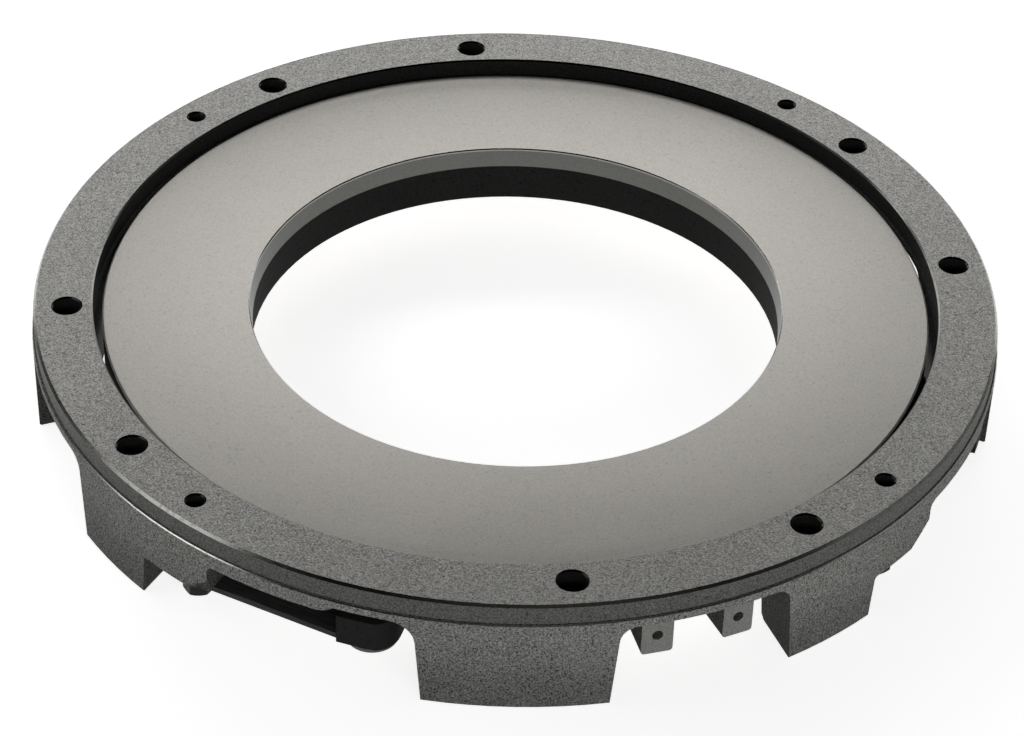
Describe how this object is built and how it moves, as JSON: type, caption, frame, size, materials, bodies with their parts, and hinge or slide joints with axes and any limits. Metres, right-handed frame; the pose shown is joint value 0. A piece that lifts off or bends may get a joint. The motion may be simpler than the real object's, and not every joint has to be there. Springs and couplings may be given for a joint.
{
  "type": "clutch intermediate pressure plate",
  "caption": "Flat annular clutch pressure plate carried by tangential spring straps inside a flanged ring housing that stands on legs, for a twin-plate clutch.",
  "frame": {"origin": "on the axis, in the plane of the feet", "axes": "+Z along the axis, from the feet to the flange; the bolt holes lie 15 degrees either side of the X and Y axes"},
  "size_m": [0.4708, 0.4708, 0.0595],
  "materials": {
    "machined_cast_ring": "fine machined flange, grainy cast skirt and legs",
    "ground_cast_plate": "ground friction face, dark cast rim and bore",
    "spring_strap": "blued spring steel",
    "black_screw": "black oxide",
    "bright_washer": "oiled dark steel",
    "steel_rivet": "dark forged steel"
  },
  "bodies": {
    "housing": {"ring_housing": "machined_cast_ring", "strap_1_leaf_1": "spring_strap", "strap_1_leaf_2": "spring_strap", "strap_1_leaf_3": "spring_strap", "strap_2_leaf_1": "spring_strap", "strap_2_leaf_2": "spring_strap", "strap_2_leaf_3": "spring_strap", "strap_3_leaf_1": "spring_strap", "strap_3_leaf_2": "spring_strap", "strap_3_leaf_3": "spring_strap", "strap_4_leaf_1": "spring_strap", "strap_4_leaf_2": "spring_strap", "strap_4_leaf_3": "spring_strap", "strap_screw_1": "black_screw", "strap_screw_2": "black_screw", "strap_screw_3": "black_screw", "strap_screw_4": "black_screw", "screw_washer_1": "bright_washer", "screw_washer_2": "bright_washer", "screw_washer_3": "bright_washer", "screw_washer_4": "bright_washer"},
    "plate": {"pressure_plate": "ground_cast_plate", "strap_rivet_1": "steel_rivet", "strap_rivet_2": "steel_rivet", "strap_rivet_3": "steel_rivet", "strap_rivet_4": "steel_rivet", "rivet_washer_1": "bright_washer", "rivet_washer_2": "bright_washer", "rivet_washer_3": "bright_washer", "rivet_washer_4": "bright_washer"}
  },
  "joints": [
    {"name": "plate_lift", "type": "slide", "parent": "housing", "child": "plate", "axis": [0, 0, 1], "range_m": [-0.004, 0.002], "stiffness_N_per_m": 162000, "springref_m": 0.00102, "deforming": ["strap_1_leaf_1", "strap_1_leaf_2", "strap_1_leaf_3", "strap_2_leaf_1", "strap_2_leaf_2", "strap_2_leaf_3", "strap_3_leaf_1", "strap_3_leaf_2", "strap_3_leaf_3", "strap_4_leaf_1", "strap_4_leaf_2", "strap_4_leaf_3"]}
  ]
}
